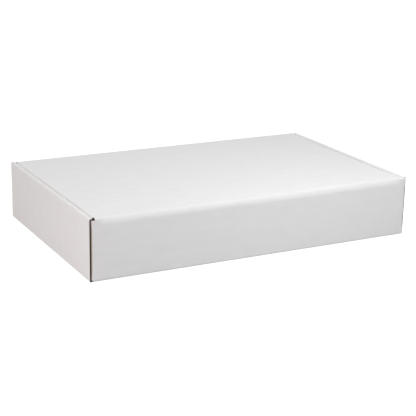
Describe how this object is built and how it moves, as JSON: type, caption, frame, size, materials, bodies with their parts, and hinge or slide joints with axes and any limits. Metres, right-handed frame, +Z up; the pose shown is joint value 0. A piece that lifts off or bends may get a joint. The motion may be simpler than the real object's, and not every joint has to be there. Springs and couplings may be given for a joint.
{
  "type": "corrugated mailer box",
  "caption": "White one-piece roll-end tuck-front mailer box of thin corrugated board, with rolled side walls and a hinged lid with dust flaps and a tuck flap.",
  "frame": {"origin": "centre of the box's footprint, on the surface that it stands on", "axes": "+X along the long side, +Y from the wall that carries the lid to the wall that the tuck flap goes behind, +Z up"},
  "size_m": [0.395, 0.248, 0.068],
  "materials": {
    "white_board": "matte bleached white liner outside",
    "kraft_board": "matte brown kraft liner inside, and raw cut edges"
  },
  "bodies": {
    "tray": {"tray": "white_board"},
    "lid": {"lid": "white_board"}
  },
  "joints": [
    {"name": "lid_hinge", "type": "hinge", "parent": "tray", "child": "lid", "pos_m": [0, -0.12358, 0.06758], "axis": [1, 0, 0], "range_deg": [0, 180]}
  ]
}
